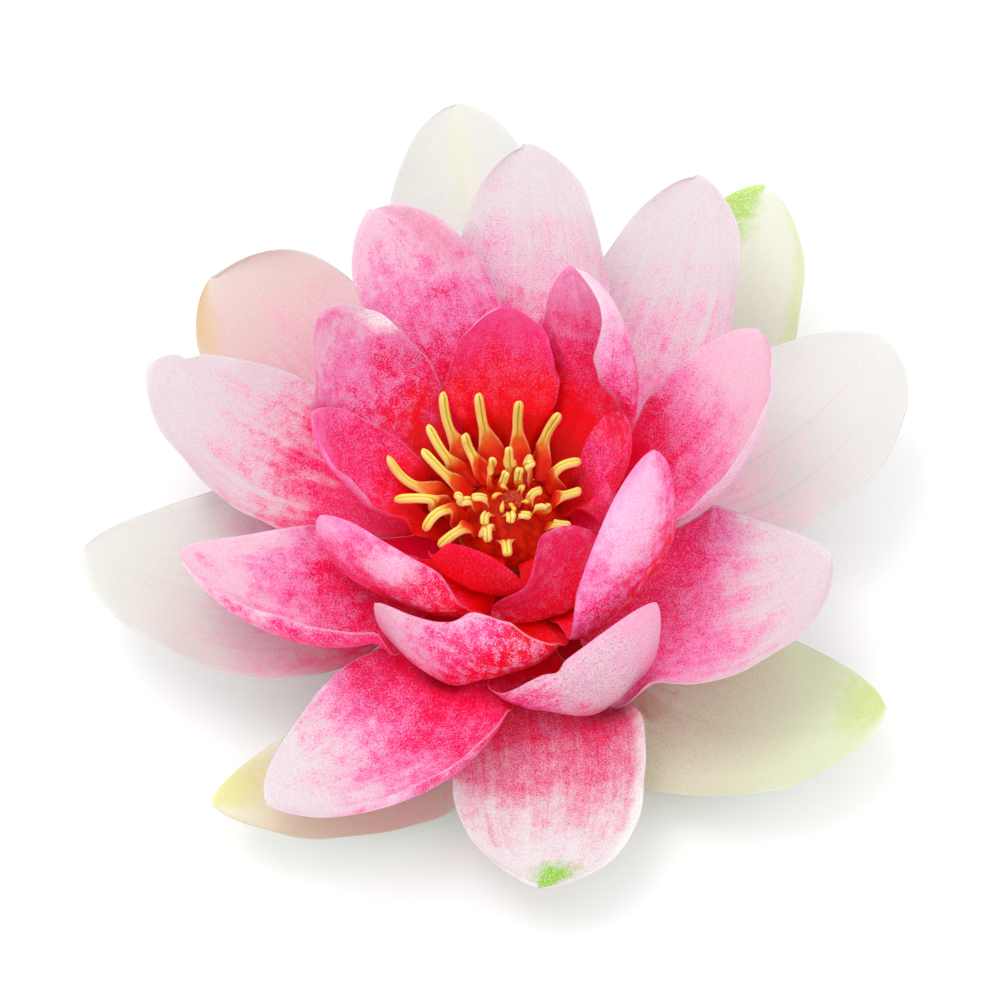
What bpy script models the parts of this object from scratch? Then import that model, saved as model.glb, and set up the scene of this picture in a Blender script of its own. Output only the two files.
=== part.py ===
"""Water lily flower, picked with a short stub of stem: receptacle, stigma, sepals, petals and stamens.

The flower stands on the cut face of its stem and on the backs of its four sepals, so z = 0 is the
surface it rests on. +Z is up and -Y is the front. The origin is under the middle of its outline.
"""

import bpy
import math
import numpy as np

MM = 0.001

# The stem's axis, a little off the middle of the flower's outline.
AXIS_X = 2.15
AXIS_Y = -5.75

# Receptacle: a ball that carries every petal and stamen, above a short round stub of stem.
CENTRE_HEIGHT = 9.0
BALL_RADIUS = 9.1
STEM_RADIUS = 4.4
STUB_LENGTH = 1.9
SEAT_RADIUS = 9.5       # where sepals, petals and stamens start, just clear of the ball

# Stigma: a shallow cup on top of the receptacle.
STIGMA_RADIUS = 1.75
STIGMA_HEIGHT = 1.1

# Sheets: petals and sepals are thin, stamens are thicker straps.
PETAL_THICKNESS = 0.6
STAMEN_THICKNESS = 0.8
ANTHER_WIDTH = 1.4
PETAL_ROWS = 10
PETAL_COLUMNS = 7
STAMEN_ROWS = 9
STAMEN_COLUMNS = 3

# Nesting: each whorl is laid under the whorls inside it.
CLEARANCE = 0.98        # between the middles of two sheets that pass each other
STEEPEST = 2.2          # steepest wall that an outer sheet follows
AZIMUTH_STEPS = 540
RANGE_START = 8.4
RANGE_END = 84.0
RANGE_STEP = 0.6
REST_HEIGHT = 0.4       # lowest that the middle of a sheet may lie

SHEETS = []


def sheet(name, azimuth, reach, height, rise, width, widest=0.55, cup=(45, 45), twist=0, shift=0,
          sway=0, blunt=0.5, seat=0, neck=0.26, lean=1.0, belly=0.38, thick=PETAL_THICKNESS):
    """Notes one petal, sepal or stamen. Lengths are in mm and angles in degrees.

    azimuth, reach and height place its tip; rise is the slope of the midrib at the base and at the
    tip; cup is how far the left and the right half roll up; twist turns the blade about its midrib;
    shift turns its base round the stem from its tip; sway bows the midrib sideways; seat is the
    latitude of its base on the ball; lean is the right half's width over the left half's; belly is
    how far the slopes at base and tip are held, as a share of the length.
    """
    SHEETS.append(dict(name=name, azimuth=azimuth, reach=reach, height=height, rise=rise, width=width,
                       widest=widest, cup=cup, twist=twist, shift=shift, sway=sway, blunt=blunt,
                       seat=seat, neck=neck, lean=lean, belly=belly,
                       thick=thick))


def stamen(name, azimuth, reach, height, rise, foot, seat, shift=0, sway=0):
    """Notes one stamen: a strap as wide as foot at its base and as wide as its anther above."""
    sheet(name, azimuth, reach, height, rise, foot, cup=(20, 20), shift=shift, sway=sway,
          seat=seat, belly=0.5, thick=STAMEN_THICKNESS)


# Stamens, innermost first. Those of the inner ring are short and curl outwards.
stamen("inner_stamen_01", 107, 3.3, 22.0, (80, 75), 1.5, 72, shift=20)
stamen("inner_stamen_02", 72, 3.9, 22.2, (80, 80), 1.5, 72, shift=-6, sway=0.3)
stamen("inner_stamen_03", 9, 4.6, 20.5, (85, -20), 1.7, 72, shift=-25, sway=0.6)
stamen("inner_stamen_04", 308, 4.6, 20.0, (85, -40), 1.7, 72, shift=-8, sway=-0.6)
stamen("inner_stamen_05", 266, 4.9, 20.0, (85, -45), 1.7, 72, shift=-18, sway=0.5)
stamen("inner_stamen_06", 96, 5.1, 26.0, (78, 88), 1.7, 70, shift=-5)
stamen("inner_stamen_07", 124, 5.3, 24.0, (75, 88), 1.7, 64, shift=16)
stamen("inner_stamen_08", 51, 5.5, 23.0, (80, -15), 1.7, 69, sway=0.8)
stamen("inner_stamen_09", 339, 5.9, 20.0, (80, -35), 1.7, 68, shift=-14, sway=0.4)
stamen("inner_stamen_10", 189, 6.3, 21.0, (75, -20), 1.7, 68)
stamen("inner_stamen_11", 230, 6.6, 20.0, (75, -70), 1.7, 66, shift=-14, sway=-0.4)
stamen("inner_stamen_12", 186, 9.0, 21.5, (65, -25), 1.7, 60, shift=-4, sway=0.5)
stamen("inner_stamen_13", 245, 8.8, 19.5, (70, -60), 1.9, 62, shift=-12, sway=-0.5)
stamen("inner_stamen_14", 334, 10.0, 18.5, (60, 10), 1.9, 50, shift=-8)
stamen("outer_stamen_01", 266, 10.2, 19.0, (55, 0), 3.4, 52, shift=-7)
stamen("outer_stamen_02", 4, 10.6, 20.5, (65, 40), 3.2, 50, shift=5)
stamen("outer_stamen_03", 131, 11.2, 24.5, (55, 80), 3.2, 52, shift=-3)
stamen("outer_stamen_04", 24, 11.6, 22.5, (70, -5), 3.2, 48, shift=8, sway=0.4)
stamen("outer_stamen_05", 85, 11.9, 28.5, (50, 88), 3.6, 45, shift=-9, sway=0.3)
stamen("outer_stamen_06", 57, 13.4, 26.0, (45, 80), 3.6, 43, shift=-7, sway=1.6)
stamen("outer_stamen_07", 112, 14.0, 29.0, (45, 80), 4.4, 43, shift=-6)
stamen("outer_stamen_08", 218, 14.3, 19.5, (55, -40), 3.4, 46, shift=-13, sway=0.8)
stamen("outer_stamen_09", 205, 14.8, 20.0, (65, -60), 3.4, 45, shift=-16, sway=-0.6)
stamen("outer_stamen_10", 158, 15.0, 24.5, (50, 45), 3.4, 44, shift=-3, sway=0.6)
stamen("outer_stamen_11", 145, 15.9, 26.0, (45, 60), 3.6, 43, shift=-4, sway=0.5)
stamen("outer_stamen_12", 129, 17.0, 29.0, (40, 80), 4.8, 40, shift=-1, sway=0.6)
stamen("outer_stamen_13", 185, 18.2, 21.5, (50, -15), 3.4, 42, shift=-10, sway=1.0)
stamen("outer_stamen_14", 170, 19.4, 26.0, (38, 70), 4.6, 40, shift=-8, sway=1.0)

# Petals, innermost whorl first.
sheet("inner_petal_front", 246, 14.5, 26, (-10, 100), 18, seat=34, cup=(50, 50), belly=0.7)
sheet("inner_petal_front_right", 296, 12.5, 28, (-22, 105), 23, seat=31, cup=(50, 50), blunt=0.7,
      belly=1.1)
sheet("inner_petal_right", 8.5, 17.8, 36, (40, 95), 15, seat=38, cup=(50, 110), lean=1.35)
sheet("inner_petal_back", 95, 21.5, 40, (45, 85), 19, seat=38, cup=(50, 50))
sheet("inner_petal_left", 173, 30.5, 36, (30, 70), 23, seat=32, cup=(95, 50), widest=0.5, neck=0.38,
      lean=0.65, shift=22)
sheet("inner_petal_front_left", 203, 31, 34, (10, 70), 29, seat=26, cup=(50, 50), blunt=0.4, lean=0.82,
      shift=37, sway=8, twist=50)
sheet("fourth_petal_right", 343, 22, 43, (-10, 80), 25, seat=22, cup=(50, 60), lean=0.9, shift=-43,
      sway=-13, twist=-50)
sheet("fourth_petal_back", 65, 24, 50, (40, 85), 20, seat=30, cup=(50, 145), widest=0.48, neck=0.3,
      lean=1.6, sway=-3)
sheet("fourth_petal_back_left", 149.5, 34, 43.5, (32, 75), 24, seat=27, cup=(50, 70), blunt=0.5)
sheet("fourth_petal_front_left", 225.5, 29, 23.5, (4, 48), 26, seat=15, cup=(50, 60), widest=0.5,
      lean=0.95, shift=62, sway=15, twist=72)
sheet("third_petal_right", 24, 41, 40, (22, 60), 27, seat=18, cup=(50, 95), blunt=1.2, sway=-8)
sheet("third_petal_back_left", 119, 44, 41.5, (28, 55), 26, seat=18, cup=(50, 50), blunt=0.7, lean=0.88,
      sway=-3)
sheet("third_petal_left", 196, 52, 27, (12, 40), 33, seat=14, cup=(110, 50), blunt=0.3, lean=0.82,
      sway=9)
sheet("third_petal_front_right", 312, 32, 28, (-12, 70), 28, seat=2, cup=(60, 50), lean=0.38, shift=-36,
      sway=-18.5, twist=-65)
sheet("third_petal_back", 88, 51, 42, (28, 50), 26.5, seat=16, cup=(50, 50), sway=-2)
sheet("second_petal_right", 344, 50, 24, (10, 40), 36, seat=2, cup=(40, 60), blunt=0.8, lean=1.12,
      sway=-9)
sheet("second_petal_back_right", 60, 58, 35, (18, 45), 27, seat=6, cup=(45, 55), shift=-15, sway=-4)
sheet("second_petal_left", 160.5, 59, 27.5, (12, 40), 32, seat=4, cup=(50, 50), blunt=0.3, neck=0.24,
      lean=0.85, sway=3)
sheet("second_petal_front_left", 235, 63, 18, (6, 25), 31, seat=0, cup=(100, 40), blunt=0.6, neck=0.28,
      lean=1.06, sway=10)
sheet("outer_petal_right", 25.5, 64.8, 22, (5, 25), 31, seat=-9, blunt=0.6, lean=1.25, sway=-6)
sheet("outer_petal_back", 97, 75, 22, (5, 25), 30, seat=-9, blunt=0.6)
sheet("outer_petal_front", 273.5, 63, 12, (0, 15), 32, seat=-12, blunt=1.0, neck=0.22, sway=3)
sheet("outer_petal_left", 187, 66, 18, (3, 22), 34, seat=-11, cup=(30, 40), blunt=0.2, neck=0.2,
      lean=1.15, sway=8)

# Sepals: they dip to the resting surface and turn up at their tips.
sheet("sepal_back_right", 54.5, 70.5, 22, (-32, 43), 31, seat=-24, shift=-12, sway=-4)
sheet("sepal_back_left", 140, 62.5, 21.5, (-31, 44), 27, seat=-24, blunt=1.2, widest=0.65, lean=1.3,
      sway=-1)
sheet("sepal_front_left", 228, 66.5, 12, (-23, 26), 27, seat=-22, neck=0.24, shift=10, sway=11)
sheet("sepal_front_right", 329, 65.4, 14, (-29, 34), 35, seat=-22, neck=0.24, lean=1.1, shift=-10,
      sway=-9.5)


def smooth(value, low, high):
    """Smooth rise from 0 at low to 1 at high."""
    t = np.clip((value - low) / (high - low), 0, 1)
    return t * t * (3 - 2 * t)


def outline(u, s):
    """Half-width along the midrib, as a share of the widest: a narrow neck, a belly and a round tip,
    or on a stamen a broad foot and a narrow anther."""
    if s["thick"] == STAMEN_THICKNESS:
        anther = ANTHER_WIDTH / s["width"]
        flange = (1 - smooth(u, 0.15, 0.6)) * (0.4 + 0.6 * smooth(u, 0, 0.2))
        return (anther + (1 - anther) * flange) * (1 - 0.3 * smooth(u, 0.85, 1))
    lower = s["neck"] + (1 - s["neck"]) * np.sin(np.clip(u / s["widest"], 0, 1) * np.pi / 2) ** 1.3
    t = np.clip((u - s["widest"]) / (1 - s["widest"]), 0, 1)
    upper = (1 - t ** (1.5 + 1.2 * s["blunt"])) ** (0.64 - 0.12 * s["blunt"])
    return np.maximum(np.where(u < s["widest"], lower, upper), 0.06)


def blade(s, rows, columns):
    """The middle surface of one sheet, as points [row along the midrib, column across] in mm."""
    u = 1 - (1 - np.linspace(0, 1, rows)) ** 1.35
    v = np.linspace(-1, 1, columns)
    tip_turn = math.radians(s["azimuth"])
    base_turn = math.radians(s["azimuth"] + s["shift"])
    seat = math.radians(s["seat"])
    base = np.array([SEAT_RADIUS * math.cos(seat) * math.cos(base_turn),
                     SEAT_RADIUS * math.cos(seat) * math.sin(base_turn),
                     CENTRE_HEIGHT + SEAT_RADIUS * math.sin(seat)])
    tip = np.array([s["reach"] * math.cos(tip_turn), s["reach"] * math.sin(tip_turn), s["height"]])
    up = np.array([0.0, 0.0, 1.0])
    ahead = (tip - base) * [1, 1, 0]
    run = np.linalg.norm(ahead)
    ahead = ahead / run
    side = np.cross(up, ahead)

    # The midrib is a cubic curve in an upright plane, bowed sideways by the sway.
    handle = s["belly"] * math.hypot(run, tip[2] - base[2])
    low, high = np.radians(s["rise"])
    knots = np.array([[0, base[2]],
                      [handle * math.cos(low), base[2] + handle * math.sin(low)],
                      [run - handle * math.cos(high), tip[2] - handle * math.sin(high)],
                      [run, tip[2]]])
    w = u[:, None]
    curve = ((1 - w) ** 3 * knots[0] + 3 * (1 - w) ** 2 * w * knots[1]
             + 3 * (1 - w) * w ** 2 * knots[2] + w ** 3 * knots[3])
    speed = (3 * (1 - w) ** 2 * (knots[1] - knots[0]) + 6 * (1 - w) * w * (knots[2] - knots[1])
             + 3 * w ** 2 * (knots[3] - knots[2]))
    midrib = base * [1, 1, 0] + curve[:, :1] * ahead + curve[:, 1:] * up + 4 * s["sway"] * w * (1 - w) * side
    along = speed[:, :1] * ahead + speed[:, 1:] * up + 4 * s["sway"] * (1 - 2 * w) * side
    along /= np.linalg.norm(along, axis=1)[:, None]
    across = side - (along @ side)[:, None] * along
    across /= np.linalg.norm(across, axis=1)[:, None]
    inward = np.cross(along, across)

    # The blade turns about the midrib by the twist, which is complete at 0.6 of its length.
    turn = np.radians(s["twist"]) * np.clip(w / 0.6, 0, 1)
    across, inward = (np.cos(turn) * across + np.sin(turn) * inward,
                      np.cos(turn) * inward - np.sin(turn) * across)

    # Each half rolls up more and more towards its margin, and less near the tip.
    half = 0.5 * s["width"] * outline(u, s)
    settle = np.sin(np.clip(u / 0.35, 0, 1) * np.pi / 2) * (1 - 0.45 * smooth(u, 0.7, 1))
    wider = 1 + (s["lean"] - 1) * smooth(u, 0.05, 0.45) if s["lean"] > 1 else s["lean"]
    points = np.zeros((rows, columns, 3))
    for column, share in enumerate(v):
        roll = math.radians(s["cup"][0] if share > 0 else s["cup"][1])
        size = half * (1.0 if share > 0 else wider)
        path = abs(share) * (np.arange(40) + 0.5) / 40
        slope = roll * path ** 1.6 * settle[:, None]
        out = share * size * np.cos(slope).mean(axis=1)
        lift = abs(share) * size * np.sin(slope).mean(axis=1)
        points[:, column] = midrib + out[:, None] * across + lift[:, None] * inward
    return points


def polar(points):
    """Azimuth, distance from the ball's centre and elevation of each point."""
    offset = points - [0, 0, CENTRE_HEIGHT]
    level = np.hypot(offset[..., 0], offset[..., 1])
    return (np.arctan2(offset[..., 1], offset[..., 0]) % (2 * np.pi),
            np.hypot(level, offset[..., 2]), np.arctan2(offset[..., 2], level))


def roof_over(azimuth, distance, ceiling):
    """The ceiling's height at each point, read between the cells of its map."""
    f = azimuth / (2 * np.pi) * AZIMUTH_STEPS
    g = np.clip((distance - RANGE_START) / RANGE_STEP, 0, ceiling.shape[1] - 1.001)
    f0 = np.floor(f).astype(int)
    g0 = np.floor(g).astype(int)
    p = f - f0
    q = g - g0
    here = f0 % AZIMUTH_STEPS
    after = (f0 + 1) % AZIMUTH_STEPS
    return ((ceiling[here, g0] * (1 - q) + ceiling[here, g0 + 1] * q) * (1 - p)
            + (ceiling[after, g0] * (1 - q) + ceiling[after, g0 + 1] * q) * p)


def dense(points):
    """The same sheet with each of its quads divided into eight by eight."""
    rows, columns = points.shape[:2]
    row_share = np.linspace(0, rows - 1, 8 * (rows - 1) + 1)[:, None] - np.arange(rows)
    column_share = np.linspace(0, columns - 1, 8 * (columns - 1) + 1)[:, None] - np.arange(columns)
    return np.einsum("ai,bj,ijk->abk", np.maximum(0, 1 - abs(row_share)),
                     np.maximum(0, 1 - abs(column_share)), points)


def lowered(points, ceiling):
    """The sheet turned down about the ball's centre until all of it lies under the ceiling, and
    kept off the ball and above the resting surface."""
    azimuth, distance, elevation = polar(points)
    distance = SEAT_RADIUS + 0.1 * np.logaddexp(0, (distance - SEAT_RADIUS) / 0.1)
    blend = 0.35
    roof = roof_over(azimuth, distance, ceiling)
    height = -blend * np.logaddexp(-elevation * distance / blend, -roof / blend)
    for _ in range(6):
        elevation = height / distance
        level = distance * np.cos(elevation)
        rise = CENTRE_HEIGHT + distance * np.sin(elevation)
        rise = REST_HEIGHT + 0.25 * np.logaddexp(0, (rise - REST_HEIGHT) / 0.25)
        points = np.stack([level * np.cos(azimuth), level * np.sin(azimuth), rise], axis=-1)
        # Where a quad still reaches through the ceiling, its four corners go down together.
        a, d, e = polar(dense(points))
        above = np.maximum(0, e * d - roof_over(a, d, ceiling))[:-1, :-1]
        rows, columns = height.shape
        cells = above.reshape(rows - 1, 8, columns - 1, 8).max(axis=(1, 3))
        edge = np.pad(cells, 1)
        height = height - 0.7 * np.maximum(np.maximum(edge[1:, 1:], edge[:-1, 1:]),
                                           np.maximum(edge[1:, :-1], edge[:-1, :-1]))
    return points


def nested(sheets, rows_and_columns):
    """Every sheet's points, each one passing under all those listed before it."""
    distance = np.arange(RANGE_START, RANGE_END, RANGE_STEP)
    arc = 2 * np.pi / AZIMUTH_STEPS * distance
    lowest = np.full((AZIMUTH_STEPS, len(distance)), 200.0)
    placed = []
    for s in sheets:
        slope = np.hypot((np.roll(lowest, -1, 0) - np.roll(lowest, 1, 0)) / (2 * arc),
                         np.gradient(lowest, RANGE_STEP, axis=1))
        ceiling = lowest - CLEARANCE * np.hypot(1, np.minimum(slope, STEEPEST))
        placed.append(lowered(blade(s, *rows_and_columns(s)), ceiling))
        azimuth, far, elevation = polar(dense(placed[-1]))
        f = np.floor(azimuth / (2 * np.pi) * AZIMUTH_STEPS).astype(int)
        g = np.floor((far - RANGE_START) / RANGE_STEP).astype(int)
        for df, dg in ((0, 0), (0, 1), (1, 0), (1, 1)):
            cell = ((f + df) % AZIMUTH_STEPS, np.clip(g + dg, 0, len(distance) - 1))
            np.minimum.at(lowest, cell, elevation * far)
        for _ in range(30):
            lowest = np.minimum(lowest, np.roll(lowest, 1, 0) + STEEPEST * arc)
            lowest = np.minimum(lowest, np.roll(lowest, -1, 0) + STEEPEST * arc)
            lowest[:, 1:] = np.minimum(lowest[:, 1:], lowest[:, :-1] + STEEPEST * RANGE_STEP)
            lowest[:, :-1] = np.minimum(lowest[:, :-1], lowest[:, 1:] + STEEPEST * RANGE_STEP)
    return placed


def cad_grid(s):
    """Rows and columns of one sheet's mesh."""
    if s["thick"] == STAMEN_THICKNESS:
        return STAMEN_ROWS, STAMEN_COLUMNS
    return PETAL_ROWS, PETAL_COLUMNS


# ---- The model in Blender ----

for old in list(bpy.data.objects):
    bpy.data.objects.remove(old, do_unlink=True)

lily = bpy.data.collections.new("Water lily flower")
bpy.context.scene.collection.children.link(lily)


def material(name, colour, roughness):
    made = bpy.data.materials.new(name)
    made.use_nodes = True
    shader = made.node_tree.nodes["Principled BSDF"]
    shader.inputs["Base Color"].default_value = (*colour, 1)
    shader.inputs["Roughness"].default_value = roughness
    return made


def add(name, mesh, made):
    mesh.materials.append(made)
    obj = bpy.data.objects.new(name, mesh)
    lily.objects.link(obj)
    return obj


def turned(name, profile, steps, made):
    """A body of revolution about Z from a profile of (radius, height) in mm, bottom to top."""
    mesh = bpy.data.meshes.new(name)
    points = [(r * MM, 0, z * MM) for r, z in profile]
    mesh.from_pydata(points, [(i, i + 1) for i in range(len(points) - 1)], [])
    obj = add(name, mesh, made)
    screw = obj.modifiers.new("Turn", "SCREW")
    screw.steps = steps
    screw.render_steps = steps
    screw.use_merge_vertices = True
    screw.merge_threshold = 0.00001
    screw.use_normal_calculate = True
    return obj


# Receptacle: one green body, the ball and the stub of stem under it, cut flat.
green = material("Receptacle green", (0.35, 0.40, 0.12), 0.5)
profile = [(0, 0), (STEM_RADIUS, 0), (STEM_RADIUS, STUB_LENGTH * 0.6)]
start = math.asin((STUB_LENGTH - CENTRE_HEIGHT) / BALL_RADIUS)
for latitude in np.linspace(start, math.pi / 2, 12):
    radius = BALL_RADIUS * math.cos(latitude)
    profile.append((0 if radius < 1e-6 else radius, CENTRE_HEIGHT + BALL_RADIUS * math.sin(latitude)))
receptacle = turned("receptacle", profile, 32, green)
receptacle.location = (AXIS_X * MM, AXIS_Y * MM, 0)

# Stigma: a small yellow cup with a rolled rim, seated on the top of the ball.
yellow = material("Stigma yellow", (0.75, 0.33, 0.05), 0.45)
top = CENTRE_HEIGHT + BALL_RADIUS + 0.3
cup = [(0, top), (STIGMA_RADIUS * 0.8, top - 0.05), (STIGMA_RADIUS, top + 0.5),
       (STIGMA_RADIUS, top + STIGMA_HEIGHT * 0.8), (STIGMA_RADIUS * 0.8, top + STIGMA_HEIGHT),
       (STIGMA_RADIUS * 0.5, top + STIGMA_HEIGHT * 0.65), (0, top + STIGMA_HEIGHT * 0.55)]
stigma = turned("stigma", cup, 20, yellow)
stigma.parent = receptacle

# Sepals, petals and stamens: open sheets made solid, each seated just clear of the ball.
colours = {
    "sepal": material("Sepal green white", (0.62, 0.68, 0.42), 0.5),
    "outer_petal": material("Outer petal blush", (0.86, 0.60, 0.62), 0.5),
    "second_petal": material("Second petal pink", (0.85, 0.42, 0.52), 0.5),
    "third_petal": material("Third petal pink", (0.84, 0.30, 0.45), 0.5),
    "fourth_petal": material("Fourth petal rose", (0.82, 0.17, 0.34), 0.5),
    "inner_petal": material("Inner petal red", (0.80, 0.06, 0.16), 0.5),
    "outer_stamen": material("Outer stamen orange", (0.85, 0.35, 0.06), 0.45),
    "inner_stamen": material("Inner stamen yellow", (0.90, 0.62, 0.12), 0.45),
}
for s, points in zip(SHEETS, nested(SHEETS, cad_grid)):
    rows, columns = points.shape[:2]
    origin = points[0, columns // 2]
    corners = (points - origin).reshape(-1, 3) * MM
    index = np.arange(rows * columns).reshape(rows, columns)
    quads = np.stack([index[:-1, :-1], index[1:, :-1], index[1:, 1:], index[:-1, 1:]], axis=-1)
    mesh = bpy.data.meshes.new(s["name"])
    mesh.from_pydata(corners.tolist(), [], quads.reshape(-1, 4).tolist())
    kind = next(key for key in colours if s["name"].startswith(key))
    obj = add(s["name"], mesh, colours[kind])
    obj.parent = receptacle
    obj.location = origin * MM
    shell = obj.modifiers.new("Thickness", "SOLIDIFY")
    shell.thickness = s["thick"] * MM
    shell.offset = 0
    shell.use_even_offset = True
    shell.thickness_clamp = 1.5
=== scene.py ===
"""A pink water lily flower, picked and laid down on its sepals: receptacle, stigma, stamens, four
whorls of coloured petals, a pale outer whorl and four sepals, put on from the middle outwards."""

import math

import bpy
import numpy as np
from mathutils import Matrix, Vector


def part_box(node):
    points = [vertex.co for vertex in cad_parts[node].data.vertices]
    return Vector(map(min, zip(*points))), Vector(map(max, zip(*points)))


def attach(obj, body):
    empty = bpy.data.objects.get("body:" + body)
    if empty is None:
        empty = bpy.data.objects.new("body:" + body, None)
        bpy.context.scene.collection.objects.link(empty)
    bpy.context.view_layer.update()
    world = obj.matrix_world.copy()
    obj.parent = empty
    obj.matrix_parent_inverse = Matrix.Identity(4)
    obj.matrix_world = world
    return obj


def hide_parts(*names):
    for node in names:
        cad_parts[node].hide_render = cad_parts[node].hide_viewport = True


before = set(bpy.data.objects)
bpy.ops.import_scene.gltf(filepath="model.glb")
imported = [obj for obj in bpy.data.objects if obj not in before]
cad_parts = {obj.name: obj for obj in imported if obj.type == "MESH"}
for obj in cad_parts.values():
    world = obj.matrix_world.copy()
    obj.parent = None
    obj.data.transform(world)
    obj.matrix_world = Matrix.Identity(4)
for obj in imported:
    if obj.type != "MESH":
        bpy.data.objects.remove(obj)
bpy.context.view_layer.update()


# ---- Receptacle ----
# The fleshy knob at the end of the stem. Everything else grows from it. A short stub of the stem is
# left under it, cut square, so the stem's air canals show on the cut face.

MM = 0.001
BALL_RADIUS = 9.1
CENTRE_HEIGHT = 9.0
STEM_RADIUS = 4.4
STUB_LENGTH = 1.9
CANALS = ((1.95, 0.78, 4, 45), (3.45, 0.3, 12, 15))     # distance out, radius, how many, first azimuth
CANAL_DEPTH = 1.3
FACE_RINGS = 28         # rings of points on the cut face
BALL_RINGS = 40
RIDGES = 14             # down the ball and the stub
RIDGE_HEIGHT = 0.012    # as a share of the radius
RED_FROM, RED_TO = 10.0, 13.0       # heights between which the flesh turns from green to red
CUT_LEVEL = 0.02        # what lies lower is the cut face
DULL = 0.15             # specular level of soft flesh

stem_low, stem_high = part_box("receptacle")
AXIS = np.array([(stem_low.x + stem_high.x) / 2, (stem_low.y + stem_high.y) / 2, 0])


def srgb(red, green, blue):
    """The linear colour that a shader takes for red, green and blue from 0 to 255."""
    share = np.array([red, green, blue]) / 255
    linear = np.where(share <= 0.04045, share / 12.92, ((share + 0.055) / 1.055) ** 2.4)
    return (*linear.tolist(), 1.0)


def step(value, low, high):
    """Smooth rise from 0 at low to 1 at high: 3 t squared minus 2 t cubed, t held between 0 and 1."""
    t = np.clip((value - low) / (high - low), 0, 1)
    return t * t * (3 - 2 * t)


def round_angles(many):
    """Angles spaced evenly round a full turn."""
    return np.linspace(0, 2 * math.pi, many, endpoint=False)


def place_grid(along, across, face):
    """The place of each point of a shell: its ring's share along, and its own share across and face."""
    return np.stack(np.broadcast_arrays(along[:, None], across, face), axis=-1)


def with_ends(grid):
    """A grid's points in one list, with the middles of its first and last rings after them."""
    return np.concatenate([grid.reshape(-1, 3), [grid[0].mean(axis=0), grid[-1].mean(axis=0)]])


def closed_skin(name, shells, finish, body="root"):
    """Makes one piece of one or more closed shells. A shell is its rings of points, in mm about the
    flower's axis, [ring, point], and a place for each point: share along, share across, face. Each
    ring is joined to the next by quads, and a fan from its middle closes the first and the last."""
    corners, places, faces, count = [], [], [], 0
    for rings, place in shells:
        rows, around = rings.shape[:2]
        index = np.arange(rows * around).reshape(rows, around)
        after = np.roll(index, -1, axis=1)
        quads = np.stack([index[:-1], after[:-1], after[1:], index[1:]], axis=-1).reshape(-1, 4)
        first = np.stack([np.full(around, rows * around), after[0], index[0]], axis=-1)
        last = np.stack([np.full(around, rows * around + 1), index[-1], after[-1]], axis=-1)
        points = with_ends(rings)
        a, b, c, d = points[quads].transpose(1, 0, 2)
        volume = np.einsum("ij,ij->", a, np.cross(b, c)) + np.einsum("ij,ij->", a, np.cross(c, d))
        if volume < 0:
            quads, first, last = quads[:, ::-1], first[:, ::-1], last[:, ::-1]
        corners.append(points)
        places.append(with_ends(place))
        for part in (quads, first, last):
            faces += (part + count).tolist()
        count += len(points)
    mesh = bpy.data.meshes.new(name)
    mesh.from_pydata((np.concatenate(corners) * MM + AXIS).tolist(), [], faces)
    attribute = mesh.attributes.new("place", "FLOAT_VECTOR", "POINT")
    attribute.data.foreach_set("vector", np.concatenate(places).astype(np.float32).ravel())
    mesh.shade_smooth()
    mesh.materials.append(finish)
    piece = bpy.data.objects.new(name, mesh)
    bpy.context.scene.collection.objects.link(piece)
    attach(piece, body)
    return piece


def node(tree, kind, sockets=None, **settings):
    """Adds a shader node. A socket is given a value, or the output that feeds it."""
    made = tree.nodes.new("ShaderNode" + kind)
    for key, value in settings.items():
        setattr(made, key, value)
    for key, value in (sockets or {}).items():
        if isinstance(value, bpy.types.NodeSocket):
            tree.links.new(value, made.inputs[key])
        else:
            made.inputs[key].default_value = value
    return made


def maths(tree, operation, *values):
    """The outcome of one sum on numbers or outputs."""
    return node(tree, "Math", dict(enumerate(values)), operation=operation).outputs[0]


def eased(tree, value, low, high, top=1.0):
    """Smooth rise of an output from 0 at low to top at high."""
    return node(tree, "MapRange", {0: value, 1: low, 2: high, 3: 0.0, 4: top},
                interpolation_type="SMOOTHSTEP").outputs[0]


def mixed(tree, share, first, second):
    """The first colour, with that share of the second."""
    return node(tree, "Mix", {0: share, 6: first, 7: second}, data_type="RGBA").outputs[2]


def clouded(tree, spot, scale, detail, **other):
    """A noise pattern on a place, at a scale for each metre or for each unit of the place."""
    return node(tree, "TexNoise", {"Vector": spot, "Scale": scale, "Detail": detail, **other}).outputs[0]


def spot_on(tree):
    """Where a point is, in metres."""
    return node(tree, "TexCoord").outputs["Object"]


def new_finish(name):
    """An empty material: (material, its node tree)."""
    made = bpy.data.materials.new(name)
    made.use_nodes = True
    return made, made.node_tree


def dressed(finish, colour, roughness, height, strength, depth, plain=()):
    """A material whose shader is fed a colour, a roughness and a bump as deep as depth in mm, and whose
    other sockets are set to plain values."""
    tree = finish.node_tree
    shader = tree.nodes["Principled BSDF"]
    bump = node(tree, "Bump", {"Height": height, "Strength": strength, "Distance": depth * MM})
    for name, output in (("Base Color", colour), ("Roughness", roughness), ("Normal", bump.outputs[0])):
        tree.links.new(output, shader.inputs[name])
    for name, value in dict(plain).items():
        shader.inputs[name].default_value = value
    return finish


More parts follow.
